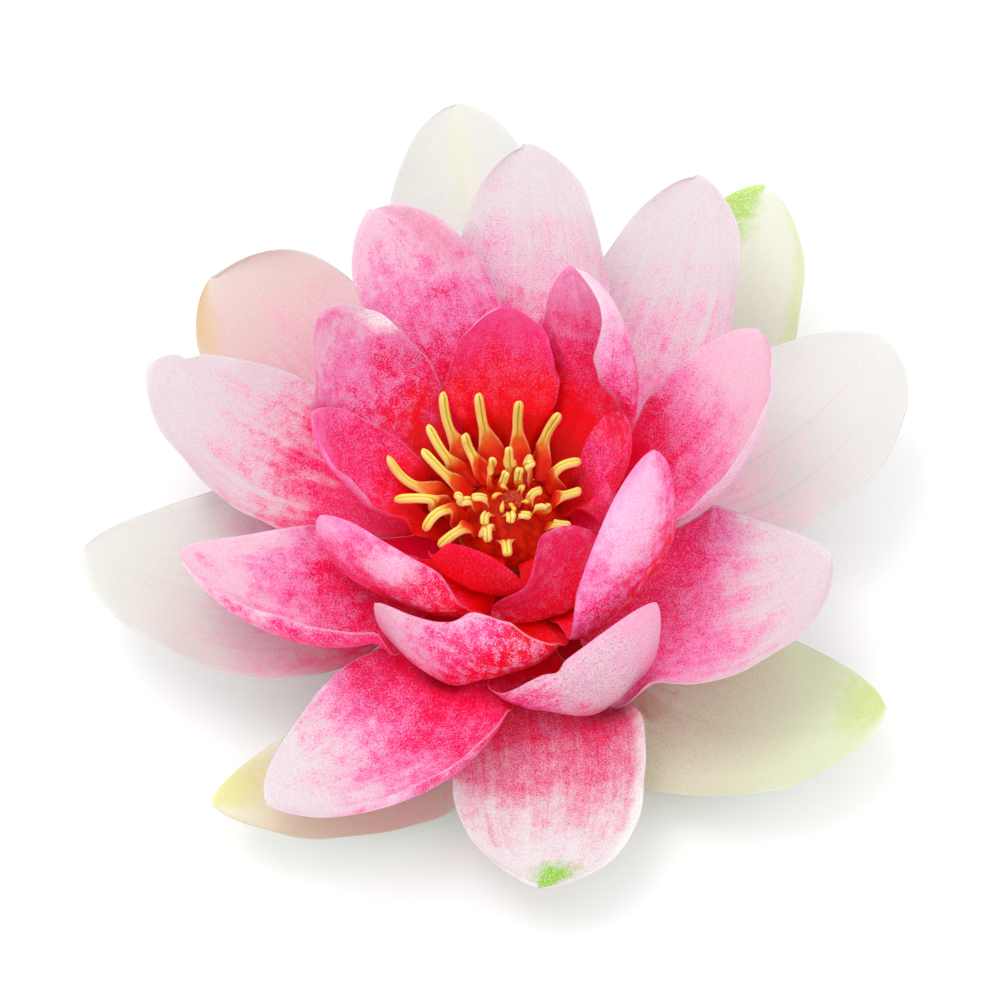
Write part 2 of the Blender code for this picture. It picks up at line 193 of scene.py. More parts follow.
def receptacle_finish():
    """Green flesh, red where the stamens sit, and a pale cut face with dark canals."""
    finish, tree = new_finish("Receptacle flesh")
    spot = spot_on(tree)
    height = node(tree, "SeparateXYZ", {0: spot}).outputs[2]
    mottle = clouded(tree, spot, 900.0, 4.0)
    spots = eased(tree, mottle, 0.35, 0.65)
    flesh = mixed(tree, spots, srgb(128, 140, 62), srgb(164, 168, 88))
    bowl = mixed(tree, spots, srgb(186, 24, 2), srgb(228, 46, 8))
    colour = mixed(tree, eased(tree, height, RED_FROM * MM, RED_TO * MM), flesh, bowl)
    cut = maths(tree, "LESS_THAN", height, CUT_LEVEL * MM)
    colour = mixed(tree, cut, colour, srgb(214, 220, 170))
    roughness = node(tree, "MapRange", {0: mottle, 3: 0.45, 4: 0.8}).outputs[0]
    return dressed(finish, colour, roughness, mottle, 0.25, 0.2, {"Specular IOR Level": DULL})


def receptacle_rings():
    """Rings about the stem's axis, from the middle of the cut face, out and up its rim, and over the
    ball, with low ridges that go as the cosine of the angle. On the cut face a point inside a canal is
    pushed up by a smooth step of its depth."""
    turn = round_angles(128)
    face_out = np.linspace(0.2, STEM_RADIUS, FACE_RINGS)
    start = math.asin((STUB_LENGTH - CENTRE_HEIGHT) / BALL_RADIUS)
    latitude = np.linspace(start, math.radians(89.2), BALL_RINGS)
    out = np.concatenate([face_out, [STEM_RADIUS * 1.01, STEM_RADIUS * 1.02],
                          BALL_RADIUS * np.cos(latitude)])
    up = np.concatenate([0 * face_out, [0.25, STUB_LENGTH * 0.7],
                         CENTRE_HEIGHT + BALL_RADIUS * np.sin(latitude)])
    out = out[:, None] * (1 + RIDGE_HEIGHT * np.cos(RIDGES * turn) * (up > 0.1)[:, None])
    x, y = out * np.cos(turn), out * np.sin(turn)
    z = np.repeat(up[:, None], len(turn), axis=1)
    on_face = (np.arange(len(up)) < FACE_RINGS)[:, None]
    for distance, radius, many, first in CANALS:
        for azimuth in np.radians(first + 360 / many * np.arange(many)):
            gap = np.hypot(x - distance * math.cos(azimuth), y - distance * math.sin(azimuth))
            z = np.where(on_face, np.maximum(z, CANAL_DEPTH * step(-gap, -radius, -0.6 * radius)), z)
    return np.stack([x, y, z], axis=-1), place_grid(np.linspace(0, 1, len(up)), 0 * turn, 0)


receptacle = closed_skin("receptacle_flesh", [receptacle_rings()], receptacle_finish())
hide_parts("receptacle")


# ---- Stigma ----
# A small shallow cup on top of the receptacle, deep orange-red, with rays on its floor, a knob in its
# middle, and a few yellow-tipped hooks curling from its rim, each the tip of one carpel.

STIGMA_RADIUS = 1.75
STIGMA_FOOT = CENTRE_HEIGHT + BALL_RADIUS
CUP_PROFILE = (         # distance out in radii and height over the foot, from under the cup to its knob
    (0.12, 0.1), (0.6, 0.05), (0.85, 0.1), (0.96, 0.3), (1.0, 0.6), (0.99, 0.85), (0.94, 1.0),
    (0.85, 0.95), (0.73, 0.8), (0.62, 0.7), (0.5, 0.6), (0.39, 0.55), (0.29, 0.6), (0.24, 0.8),
    (0.21, 0.95), (0.15, 1.05), (0.06, 1.1))
RIM = 6                 # where the profile turns down into the cup
RAYS = 11
RAY_HEIGHT = 0.09
HOOKS = (               # azimuth of the foot, heading, bend and length
    (150, 205, -175, 3.4), (112, 150, -120, 2.4), (60, 40, -95, 2.0), (200, 262, -170, 4.2),
    (255, 300, -120, 2.6), (330, 350, -130, 2.2), (20, 70, -60, 2.6), (290, 190, -90, 1.8))
HOOK_RADIUS = 0.3
HOOK_RISE = 78          # degrees up at the foot
HOOK_RINGS = 16
HOOK_PLACE = 0.8 * STIGMA_RADIUS


def stigma_rings():
    """The cup turned about the axis: out under it, up its wall, over a rolled rim, and down to a
    floor that waves up and down round the axis in rays, and up a small knob."""
    turn = round_angles(88)
    out, up = np.array(CUP_PROFILE).T
    out = out * STIGMA_RADIUS
    swing = RAY_HEIGHT * step(out, 0.5, 0.95) * (np.arange(len(out)) >= RIM)
    x = out[:, None] * np.cos(turn)
    y = out[:, None] * np.sin(turn)
    z = STIGMA_FOOT + up[:, None] + np.cos(RAYS * turn) * swing[:, None]
    return np.stack([x, y, z], axis=-1), place_grid(np.linspace(0, 1, len(out)), 0 * turn, 0)


def hook_rings(azimuth, heading, bend, length):
    """A thin round hook carried along a path that rises from the rim and curls over in its heading by
    an angle which grows with the square of the share along it. Its radius swells before the tip and
    closes there."""
    t = np.linspace(0, 1, HOOK_RINGS)
    angle = math.radians(HOOK_RISE) + np.radians(bend) * t ** 2
    forward = length * np.cumsum(np.cos(angle)) / HOOK_RINGS
    upward = STIGMA_FOOT + 0.5 + length * np.cumsum(np.sin(angle)) / HOOK_RINGS
    radius = HOOK_RADIUS * (0.55 + 0.75 * step(t, 0.45, 0.8)) * np.sqrt(1.002 - t ** 10)
    turn = round_angles(12)
    side = radius[:, None] * np.cos(turn)
    lift = radius[:, None] * np.sin(turn)
    ahead = forward[:, None] - lift * np.sin(angle)[:, None]
    z = upward[:, None] + lift * np.cos(angle)[:, None]
    start, way = np.radians([azimuth, heading])
    x = HOOK_PLACE * math.cos(start) + ahead * math.cos(way) - side * math.sin(way)
    y = HOOK_PLACE * math.sin(start) + ahead * math.sin(way) + side * math.cos(way)
    return np.stack([x, y, z], axis=-1), place_grid(t, 0 * turn, 1)


def place_on(tree):
    """The place that each point was given: share along, share across and face."""
    place = node(tree, "Attribute", attribute_name="place").outputs["Vector"]
    return node(tree, "SeparateXYZ", {0: place}).outputs


def stigma_finish():
    """Deep orange-red flesh, dusted with grains, and hooks that turn yellow towards their tips."""
    finish, tree = new_finish("Stigma flesh")
    along, _, hook = place_on(tree)
    grains = clouded(tree, spot_on(tree), 2600.0, 3.0)
    cup = mixed(tree, eased(tree, grains, 0.35, 0.65), srgb(168, 28, 10), srgb(216, 72, 22))
    tip = mixed(tree, eased(tree, along, 0.25, 0.6), srgb(224, 84, 24), srgb(250, 214, 86))
    colour = mixed(tree, hook, cup, tip)
    return dressed(finish, colour, eased(tree, grains, 0.1, 0.9, 0.75), grains, 0.4, 0.1)


hooks = [hook_rings(*hook) for hook in HOOKS]
stigma = closed_skin("stigma_cup", [stigma_rings(), *hooks], stigma_finish())
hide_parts("stigma")


# ---- Inner stamens ----
# Narrow straps round the stigma, orange at the foot and bright yellow where the two pollen sacs run
# up them with a groove between. They grow from the receptacle and curl outwards at their tips.

SEAT_RADIUS = 9.5
CLEARANCE = 0.98        # between the middles of two sheets that pass each other
STEEPEST = 2.2          # steepest wall that a sheet outside another follows
REST_HEIGHT = 0.4       # lowest that the middle of a sheet may lie
STRAP_HALF = 0.16       # half the thickness of a stamen's strap
GRAIN_DEPTH = 0.12      # of the skin's bump
LIGHT_DEPTH = 0.8       # how far light gets into the flesh
AZIMUTH_STEPS = 540     # cells of the map of what has been laid, round the ball and away from it
RANGE_START = 8.4
RANGE_STEP = 0.6
RANGE_END = 84.0
SMOOTHINGS = 6
FINER = 3               # points tried for each point of a sheet, along and across
SPREADS = 30            # cells that a steep wall spreads over
distance_steps = np.arange(RANGE_START, RANGE_END, RANGE_STEP)
lowest = np.full((AZIMUTH_STEPS, len(distance_steps)), 200.0)   # underside of all that has been laid


def polar(points):
    """Azimuth, distance from the ball's centre and elevation of each point."""
    offset = points - [0, 0, CENTRE_HEIGHT]
    level = np.hypot(offset[..., 0], offset[..., 1])
    return (np.arctan2(offset[..., 1], offset[..., 0]) % (2 * np.pi),
            np.hypot(level, offset[..., 2]), np.arctan2(offset[..., 2], level))


def roof_over(azimuth, distance, ceiling):
    """The ceiling's height at each point, read between the cells of its map."""
    f = azimuth / (2 * np.pi) * AZIMUTH_STEPS
    g = np.clip((distance - RANGE_START) / RANGE_STEP, 0, ceiling.shape[1] - 1.001)
    f0 = np.floor(f).astype(int)
    g0 = np.floor(g).astype(int)
    p, q = f - f0, g - g0
    here, after = f0 % AZIMUTH_STEPS, (f0 + 1) % AZIMUTH_STEPS
    return ((ceiling[here, g0] * (1 - q) + ceiling[here, g0 + 1] * q) * (1 - p)
            + (ceiling[after, g0] * (1 - q) + ceiling[after, g0 + 1] * q) * p)


def smoothed(grid, times):
    """Each value of a grid averaged with its neighbours along and across, again and again."""
    for _ in range(times):
        wide = np.pad(grid, ((1, 1), (1, 1), (0, 0)), mode="edge")
        grid = (wide[:-2, 1:-1] + wide[2:, 1:-1] + wide[1:-1, :-2] + wide[1:-1, 2:] + 4 * grid) / 8
    return grid


def at_least(value, least, corner):
    """A value, or the least it may be, with a corner that is rounded as a softplus."""
    return least + corner * np.logaddexp(0, (value - least) / corner)


def laid(points, blend=0.6):
    """The sheet turned down about the ball's centre until it lies under everything laid before it,
    kept off the ball and above the surface the flower rests on. It then counts as laid itself."""
    arc = 2 * np.pi / AZIMUTH_STEPS * distance_steps
    slope = np.hypot((np.roll(lowest, -1, 0) - np.roll(lowest, 1, 0)) / (2 * arc),
                     np.gradient(lowest, RANGE_STEP, axis=1))
    ceiling = lowest - CLEARANCE * np.hypot(1, np.minimum(slope, STEEPEST))
    azimuth, distance, elevation = polar(points)
    distance = at_least(distance, SEAT_RADIUS, 0.1)
    roof = roof_over(azimuth, distance, ceiling)
    height = -blend * np.logaddexp(-elevation * distance / blend, -roof / blend)
    elevation = height / distance
    level = distance * np.cos(elevation)
    rise = at_least(CENTRE_HEIGHT + distance * np.sin(elevation), REST_HEIGHT, 0.25)
    moved = np.stack([level * np.cos(azimuth), level * np.sin(azimuth), rise], axis=-1)
    moved = points + smoothed(moved - points, SMOOTHINGS)
    rows, columns = moved.shape[:2]
    a = np.linspace(0, rows - 1, FINER * rows)[:, None] - np.arange(rows)
    b = np.linspace(0, columns - 1, FINER * columns)[:, None] - np.arange(columns)
    finer = np.einsum("ai,bj,ijk->abk", np.maximum(0, 1 - abs(a)), np.maximum(0, 1 - abs(b)), moved,
                      optimize=True)
    azimuth, far, elevation = polar(finer)
    f = np.floor(azimuth / (2 * np.pi) * AZIMUTH_STEPS).astype(int)
    g = np.floor((far - RANGE_START) / RANGE_STEP).astype(int)
    for df, dg in ((0, 0), (0, 1), (1, 0), (1, 1)):
        cell = ((f + df) % AZIMUTH_STEPS, np.clip(g + dg, 0, len(distance_steps) - 1))
        np.minimum.at(lowest, cell, elevation * far)
    for _ in range(SPREADS):
        lowest[:] = np.minimum(lowest, np.roll(lowest, 1, 0) + STEEPEST * arc)
        lowest[:] = np.minimum(lowest, np.roll(lowest, -1, 0) + STEEPEST * arc)
        lowest[:, 1:] = np.minimum(lowest[:, 1:], lowest[:, :-1] + STEEPEST * RANGE_STEP)
        lowest[:, :-1] = np.minimum(lowest[:, :-1], lowest[:, 1:] + STEEPEST * RANGE_STEP)
    return moved


def bent_sheet(u, v, half, tip, rise, cup=(45, 45), twist=0, shift=0, sway=0, seat=0, lean=1.0,
               belly=0.38):
    """The middle surface of a sheet with share u along it and v across it. Its midrib is a cubic curve
    from the ball to the tip (azimuth, reach, height), with the slopes of rise at its ends, bowed
    sideways by sway. Across it the sheet is half wide, and each half rolls up by the angle cup times
    the share across to the power 1.6, less near the tip. The blade turns about the midrib by twist."""
    azimuth, reach, height = tip
    tip_turn, base_turn, low_seat = np.radians([azimuth, azimuth + shift, seat])
    base = np.array([SEAT_RADIUS * math.cos(low_seat) * math.cos(base_turn),
                     SEAT_RADIUS * math.cos(low_seat) * math.sin(base_turn),
                     CENTRE_HEIGHT + SEAT_RADIUS * math.sin(low_seat)])
    end = np.array([reach * math.cos(tip_turn), reach * math.sin(tip_turn), height])
    up = np.array([0.0, 0.0, 1.0])
    ahead = (end - base) * [1, 1, 0]
    run = np.linalg.norm(ahead)
    ahead = ahead / run
    side = np.cross(up, ahead)
    handle = belly * math.hypot(run, height - base[2])
    low, high = np.radians(rise)
    knots = np.array([[0, base[2]],
                      [handle * math.cos(low), base[2] + handle * math.sin(low)],
                      [run - handle * math.cos(high), height - handle * math.sin(high)],
                      [run, height]])
    w = u[:, None]
    curve = ((1 - w) ** 3 * knots[0] + 3 * (1 - w) ** 2 * w * knots[1]
             + 3 * (1 - w) * w ** 2 * knots[2] + w ** 3 * knots[3])
    speed = (3 * (1 - w) ** 2 * (knots[1] - knots[0]) + 6 * (1 - w) * w * (knots[2] - knots[1])
             + 3 * w ** 2 * (knots[3] - knots[2]))
    midrib = base * [1, 1, 0] + curve[:, :1] * ahead + curve[:, 1:] * up + 4 * sway * w * (1 - w) * side
    along = speed[:, :1] * ahead + speed[:, 1:] * up + 4 * sway * (1 - 2 * w) * side
    along /= np.linalg.norm(along, axis=1)[:, None]
    across = side - (along @ side)[:, None] * along
    across /= np.linalg.norm(across, axis=1)[:, None]
    inward = np.cross(along, across)
    turn = np.radians(twist) * np.clip(w / 0.6, 0, 1)
    across, inward = (np.cos(turn) * across + np.sin(turn) * inward,
                      np.cos(turn) * inward - np.sin(turn) * across)
    settle = np.sin(np.clip(u / 0.35, 0, 1) * np.pi / 2) * (1 - 0.45 * step(u, 0.7, 1))
    roll = np.radians(np.where(v > 0, cup[0], cup[1])) * settle[:, None]
    wider = np.where(lean > 1, 1 + (lean - 1) * step(u, 0.05, 0.45), lean)
    size = half[:, None] * np.where(v > 0, 1.0, wider[:, None])
    path = abs(v)[:, None] * (np.arange(40) + 0.5) / 40
    slope = roll[..., None] * path ** 1.6
    out = v * size * np.cos(slope).mean(axis=-1)
    lift = abs(v) * size * np.sin(slope).mean(axis=-1)
    return midrib[:, None] + out[..., None] * across[:, None] + lift[..., None] * inward[:, None]


def facing(middle):
    """Unit normals of a sheet: the cross product of its steps along and across."""
    normal = np.cross(np.gradient(middle, axis=0), np.gradient(middle, axis=1))
    return normal / (np.linalg.norm(normal, axis=-1)[..., None] + 1e-12)


def two_faced(middle, u, v, inner, outer):
    """Rings round a sheet: its middle surface moved along its normal by inner on the face towards the
    stigma, and back by outer on the other face. The two faces meet along both margins."""
    upper = middle + facing(middle) * inner[..., None]
    under = middle - facing(middle) * outer[..., None]
    rings = np.concatenate([upper, under[:, -2:0:-1]], axis=1)
    columns = len(v)
    across = np.concatenate([v, v[-2:0:-1]])
    face = np.concatenate([[0], np.ones(columns - 2), [0], -np.ones(columns - 2)])
    return rings, place_grid(u, across, face)


def stamen_rings(foot, anther, **path):
    """A strap as wide as foot a little above its seat, narrowing along an S-curve to the anther's
    width by 0.6 of its length, with a round tip. On its upper half two pollen sacs swell as the sine
    of the share across."""
    u = 1 - (1 - np.linspace(0, 1, 48)) ** 1.3
    v = np.sin(np.linspace(-1, 1, 17) * math.pi / 2)
    half = 0.5 * (anther + (foot - anther) * (1 - step(u, 0.15, 0.6)) * (0.4 + 0.6 * step(u, 0, 0.2)))
    half *= np.sqrt(1.0005 - step(u, 0.9, 1.02) ** 2)
    middle = laid(bent_sheet(u, v, half, cup=(20, 20), **path), blend=0.35)
    edge = np.sqrt(1 - abs(v) ** 4)
    round_tip = np.sqrt(1.002 - u ** 30)[:, None]
    sacs = step(u, 0.35, 0.5)[:, None] * round_tip * np.sin(math.pi * abs(v)) ** 0.7
    flat = STRAP_HALF * edge * round_tip
    inner = flat + 0.3 * anther * sacs
    outer = flat + 0.22 * anther * edge * step(u, 0.3, 0.55)[:, None] * round_tip
    return two_faced(middle, u, v, inner, outer)


def product(tree, *values):
    """Outputs and numbers multiplied together."""
    total = values[0]
    for value in values[1:]:
        total = maths(tree, "MULTIPLY", total, value)
    return total


def remainder(tree, value):
    """What a share leaves of 1."""
    return maths(tree, "SUBTRACT", 1.0, value)


def shaken(tree, value, pattern, weight):
    """A value moved up and down by a pattern about its middle, times a weight."""
    return maths(tree, "MULTIPLY_ADD", maths(tree, "SUBTRACT", pattern, 0.5), weight, value)


def stamen_finish(name, foot, neck, sac, start):
    """Red at the foot, orange above it and yellow from start on, with a brown groove between the sacs
    and a paler margin."""
    finish, tree = new_finish(name)
    spot = spot_on(tree)
    along, across, _ = place_on(tree)
    grains = clouded(tree, spot, 4200.0, 2.0)
    reach = shaken(tree, along, clouded(tree, spot, 420.0, 2.0), 0.3)
    colour = mixed(tree, eased(tree, reach, start - 0.32, start), foot, neck)
    colour = mixed(tree, eased(tree, reach, start - 0.12, start + 0.2), colour, sac)
    gap = maths(tree, "ABSOLUTE", across)
    groove = product(tree, remainder(tree, eased(tree, gap, 0.05, 0.28)),
                     eased(tree, reach, start, start + 0.15, 0.5))
    colour = mixed(tree, groove, colour, srgb(196, 132, 16))
    margin = product(tree, eased(tree, gap, 0.7, 1.0, 0.45), eased(tree, reach, start - 0.3, start))
    colour = mixed(tree, margin, colour, srgb(255, 252, 200))
    pollen = product(tree, eased(tree, grains, 0.55, 0.75, 0.4), eased(tree, reach, start, start + 0.1))
    colour = mixed(tree, pollen, colour, srgb(255, 253, 206))
    return dressed(finish, colour, eased(tree, grains, 0.0, 1.0, 0.75), grains, 0.5, GRAIN_DEPTH,
                   {"Subsurface Weight": 0.2, "Subsurface Radius": (1.0, 0.5, 0.15),
                    "Subsurface Scale": LIGHT_DEPTH * MM})


def stamens(kind, finish, anther, table):
    """Makes every stamen of one kind: foot width, azimuth, reach and height of the tip, rise, seat,
    shift of the base, and sway."""
    for number, (foot, azimuth, reach, height, rise, seat, shift, sway) in enumerate(table, 1):
        shell = stamen_rings(foot, anther, tip=(azimuth, reach, height), rise=rise, seat=seat,
                             shift=shift, sway=sway, belly=0.5)
        strap = closed_skin(f"{kind}_{number:02d}_strap", [shell], finish)
        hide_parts(f"{kind}_{number:02d}")


inner_finish = stamen_finish("Inner stamen", foot=srgb(232, 46, 10), neck=srgb(254, 140, 30),
                             sac=srgb(255, 252, 128), start=0.34)
stamens("inner_stamen", inner_finish, 1.35, (
    (1.5, 107, 3.3, 22.0, (80, 75), 72, 20, 0),
    (1.5, 72, 3.9, 22.2, (80, 80), 72, -6, 0.3),
    (1.7, 9, 4.6, 20.5, (85, -20), 72, -25, 0.6),
    (1.7, 308, 4.6, 20.0, (85, -40), 72, -8, -0.6),
    (1.7, 266, 4.9, 20.0, (85, -45), 72, -18, 0.5),
    (1.7, 96, 5.1, 26.0, (78, 88), 70, -5, 0),
    (1.7, 124, 5.3, 24.0, (75, 88), 64, 16, 0),
    (1.7, 51, 5.5, 23.0, (80, -15), 69, 0, 0.8),
    (1.7, 339, 5.9, 20.0, (80, -35), 68, -14, 0.4),
    (1.7, 189, 6.3, 21.0, (75, -20), 68, 0, 0),
    (1.7, 230, 6.6, 20.0, (75, -70), 66, -14, -0.4),
    (1.7, 186, 9.0, 21.5, (65, -25), 60, -4, 0.5),
    (1.9, 245, 8.8, 19.5, (70, -60), 62, -12, -0.5),
    (1.9, 334, 10.0, 18.5, (60, 10), 50, -8, 0)))


# ---- Outer stamens ----
# Broader straps outside the inner ones, like small orange petals at the foot, narrowing to a yellow
# anther. They stand up at the back of the bowl and lean or hook outwards at its front.

outer_finish = stamen_finish("Outer stamen", foot=srgb(240, 40, 12), neck=srgb(254, 116, 40),
                             sac=srgb(255, 252, 118), start=0.46)
stamens("outer_stamen", outer_finish, 1.55, (
    (3.4, 266, 10.2, 19.0, (55, 0), 52, -7, 0),
    (3.2, 4, 10.6, 20.5, (65, 40), 50, 5, 0),
    (3.2, 131, 11.2, 24.5, (55, 80), 52, -3, 0),
    (3.2, 24, 11.6, 22.5, (70, -5), 48, 8, 0.4),
    (3.6, 85, 11.9, 28.5, (50, 88), 45, -9, 0.3),
    (3.6, 57, 13.4, 26.0, (45, 80), 43, -7, 1.6),
    (4.4, 112, 14.0, 29.0, (45, 80), 43, -6, 0),
    (3.4, 218, 14.3, 19.5, (55, -40), 46, -13, 0.8),
    (3.4, 205, 14.8, 20.0, (65, -60), 45, -16, -0.6),
    (3.4, 158, 15.0, 24.5, (50, 45), 44, -3, 0.6),
    (3.6, 145, 15.9, 26.0, (45, 60), 43, -4, 0.5),
    (4.8, 129, 17.0, 29.0, (40, 80), 40, -1, 0.6),
    (3.4, 185, 18.2, 21.5, (50, -15), 42, -10, 1.0),
    (4.6, 170, 19.4, 26.0, (38, 70), 40, -8, 1.0)))


# ---- Innermost petals ----
# Six short hooded petals round the bowl of stamens, red nearly all over. Like every petal they are
# thin at the margin and thicker along the middle, and grow from the receptacle by a narrow base.

SCARLET = srgb(254, 8, 8)
RED = srgb(255, 4, 26)
CRIMSON = srgb(254, 12, 70)
MAGENTA = srgb(252, 34, 112)
PINK = srgb(250, 84, 156)
ROSE = srgb(248, 140, 194)
BLUSH = srgb(238, 206, 220)
WHITE = srgb(224, 225, 224)
LILAC = srgb(238, 176, 218)
CERISE = srgb(226, 16, 128)
MAUVE = srgb(122, 20, 110)
GARNET = srgb(196, 0, 34)
FUCHSIA = srgb(222, 70, 160)
EMBER = srgb(206, 24, 6)
HEART = (EMBER, 0.08, 0.0, 0.3, 3.0, 1.0)   # tint, place along and across, length, breadth, strength

WAVE = 0.45             # swing of the margin
RIBS = 7                # from the midrib to the margin
RIB_HEIGHT = 0.03
GROOVE_DEPTH = 0.22
THICKNESS = 0.6         # of the blade along its middle
RINGS, COLUMNS = 70, 47     # points along a petal and across it
MIDRIB = COLUMNS // 2

FACE_COLOURS = ("Deep", "Pink", "Pale", "Tip")
BORDERS = ("Deep to", "Pink to", "Pale to")     # the share along where each of the colours ends
USUAL = {"Soft": 0.16, "Bow": 0.06, "Slant": 0.0, "Clouds": 0.38, "Patches": 0.12, "Grain": 0.8,
         "Streaks": 0.35, "Veins": 0.25, "Edge": 0.035}
PATCH = ("Along", "Across", "Length", "Breadth", "Strength")     # of a tinge


def petal_rings(tip, width, widest=0.55, blunt=0.5, neck=0.26, bite=None, **path):
    """A petal, half as wide as a power of a quarter sine from its neck to widest, and from there to its
    round tip as a root of 1 less a power of the share. Its margin waves by a sum of sines times the
    fourth power of the share across, its midrib is a groove, and low ribs fade out towards the tip. A
    bite (side, place along, depth, length) draws one margin in by a bell curve."""
    u = 1 - (1 - np.linspace(0, 1, RINGS)) ** 1.5
    v = np.linspace(-1, 1, COLUMNS)
    v = 0.6 * v + 0.4 * np.sin(v * math.pi / 2)
    lower = neck + (1 - neck) * np.sin(np.clip(u / widest, 0, 1) * np.pi / 2) ** 1.3
    t = np.clip((u - widest) / (1 - widest), 0, 1)
    upper = (1 - t ** (1.5 + 1.2 * blunt)) ** (0.64 - 0.12 * blunt)
    half = 0.5 * width * np.maximum(np.where(u < widest, lower, upper), 0.02)
    middle = bent_sheet(u, v, half, tip, **path)
    seed = tip[0] * 0.7 + tip[1]
    sides = np.where(v > 0, 0.0, 2.1)
    w = u[:, None]
    ruffle = (np.sin(9 * w + seed + sides) + 0.5 * np.sin(21 * w + 2 * seed - 3 * sides)
              + 0.25 * np.sin(43 * w + 3 * seed))
    fade = step(w, 0.0, 0.3)
    ridges = np.cos(2 * math.pi * RIBS * v + 2 * np.sin(3 * w + seed))
    ridges *= (1 - 0.8 * step(w, 0.5, 0.9)) * (1 - v ** 8)
    groove = np.exp(-(v / 0.07) ** 2) * step(1 - w, 0, 0.2)
    lift = fade * (WAVE * ruffle * v ** 4 + RIB_HEIGHT * ridges - GROOVE_DEPTH * groove)
    middle = middle + lift[..., None] * facing(middle)
    if bite:
        side, spot, depth, length = bite
        pull = depth * np.exp(-((w - spot) / length) ** 2) * step(side * v, 0.3, 1.0)
        middle = middle + pull[..., None] * (middle[:, MIDRIB, None] - middle)
    middle = laid(middle)
    edge = np.sqrt(1.0001 - abs(v) ** 6)
    body = 0.25 * THICKNESS * (1 + (1 - v ** 2) * (1 - 0.6 * w)) * edge
    body = body * np.sqrt(1.0001 - w ** 40)
    return two_faced(middle, u, v, body, body)


def new_group(name, *sockets):
    """An empty shader node group with sockets of each way and kind: (group, what its inputs bring)."""
    group = bpy.data.node_groups.new(name, "ShaderNodeTree")
    for way, kind, titles in sockets:
        for title in titles:
            group.interface.new_socket(title, in_out=way, socket_type="NodeSocket" + kind)
    return group, group.nodes.new("NodeGroupInput").outputs


def put_out(group, **results):
    """Feeds the outputs of a group, which is then whole."""
    end = group.nodes.new("NodeGroupOutput")
    for name, output in results.items():
        group.links.new(output, end.inputs[name])
    return group


def pigment_group():
    """Colour of one face of a petal. The deep colour of the base gives way to pink, pale and the tip's
    colour. The borders run in streaks along the petal, are broken by clouds and fine grain, and come
    sooner at the margins and, by the slant, on one side. Then come darker veins, worn lilac patches,
    light and dark dots, and a pale edge. Height follows the veins and the grain."""
    tree, given = new_group("Petal pigment", ("INPUT", "Color", FACE_COLOURS),
                            ("INPUT", "Float", (*BORDERS, *USUAL, "Seed")),
                            ("OUTPUT", "Color", ["Color"]), ("OUTPUT", "Float", ["Height"]))
    u, v, _ = place_on(tree)
    spot = spot_on(tree)

    long_way = node(tree, "CombineXYZ", {0: product(tree, v, 6.0), 1: product(tree, u, 1.1),
                                         2: given["Seed"]}).outputs[0]
    streak = clouded(tree, long_way, 1.0, 4.0, Roughness=0.65)
    cloud = clouded(tree, spot, 210.0, 3.0)
    blotch = clouded(tree, spot, 620.0, 2.0)
    fine = clouded(tree, spot, 3300.0, 2.0, Roughness=0.6)
    dark_grain = clouded(tree, spot, 4300.0, 1.0)
    light_grain = node(tree, "TexNoise", {"Vector": spot, "W": 3.0, "Scale": 3700.0, "Detail": 1.0},
                       noise_dimensions="4D").outputs[0]

    reach = maths(tree, "MULTIPLY_ADD", product(tree, v, v), given["Bow"], u)
    reach = maths(tree, "MULTIPLY_ADD", v, given["Slant"], reach)
    reach = shaken(tree, reach, streak, given["Streaks"])
    reach = shaken(tree, reach, cloud, given["Clouds"])
    reach = shaken(tree, reach, blotch, product(tree, given["Clouds"], 0.6))
    dotted = shaken(tree, reach, fine, product(tree, given["Grain"], 0.45))

    def passed(border):
        """How far a point is past a border, from 0 well before it to 1 well after it."""
        return eased(tree, dotted, maths(tree, "SUBTRACT", border, given["Soft"]),
                     maths(tree, "ADD", border, given["Soft"]))

    pink_share = passed(given["Deep to"])
    pale_share = passed(given["Pink to"])
    tip_share = passed(given["Pale to"])
    colour = mixed(tree, pink_share, given["Deep"], given["Pink"])
    colour = mixed(tree, pale_share, colour, given["Pale"])
    colour = mixed(tree, tip_share, colour, given["Tip"])

    turns = shaken(tree, product(tree, v, RIBS * math.pi), streak, 3.0)
    hump = maths(tree, "ABSOLUTE", maths(tree, "SINE", turns))
    line = maths(tree, "POWER", remainder(tree, hump), 3.0)
    line = product(tree, line, eased(tree, streak, 0.4, 0.6))
    vein = product(tree, line, given["Veins"], remainder(tree, eased(tree, u, 0.55, 1.0)))
    colour = mixed(tree, vein, colour, mixed(tree, pale_share, given["Deep"], given["Pink"]))

    away = eased(tree, u, 0.25, 0.5)
    worn = shaken(tree, blotch, fine, 0.9)
    patch = product(tree, eased(tree, worn, 0.5, 0.66), given["Patches"], away)
    colour = mixed(tree, patch, colour, LILAC)

    grainy = product(tree, remainder(tree, product(tree, tip_share, 0.7)), given["Grain"])
    light_dots = product(tree, eased(tree, light_grain, 0.5, 0.62), pink_share, grainy, 0.55)
    colour = mixed(tree, light_dots, colour, LILAC)
    dark_dots = product(tree, eased(tree, dark_grain, 0.47, 0.6), grainy, 0.46)
    tint = mixed(tree, pale_share, mixed(tree, pink_share, GARNET, CERISE), FUCHSIA)
    colour = mixed(tree, dark_dots, colour, tint)
    deepest = product(tree, eased(tree, dark_grain, 0.55, 0.66), away, grainy,
                      remainder(tree, product(tree, pale_share, 0.55)), 0.7)
    colour = mixed(tree, deepest, colour, MAUVE)

    edge = eased(tree, maths(tree, "ABSOLUTE", v), remainder(tree, given["Edge"]), 1.0)
    colour = mixed(tree, product(tree, edge, 0.5), colour, given["Tip"])

    height = maths(tree, "MULTIPLY_ADD", line, -0.5, product(tree, fine, 0.5))
    return put_out(tree, Color=colour, Height=height)


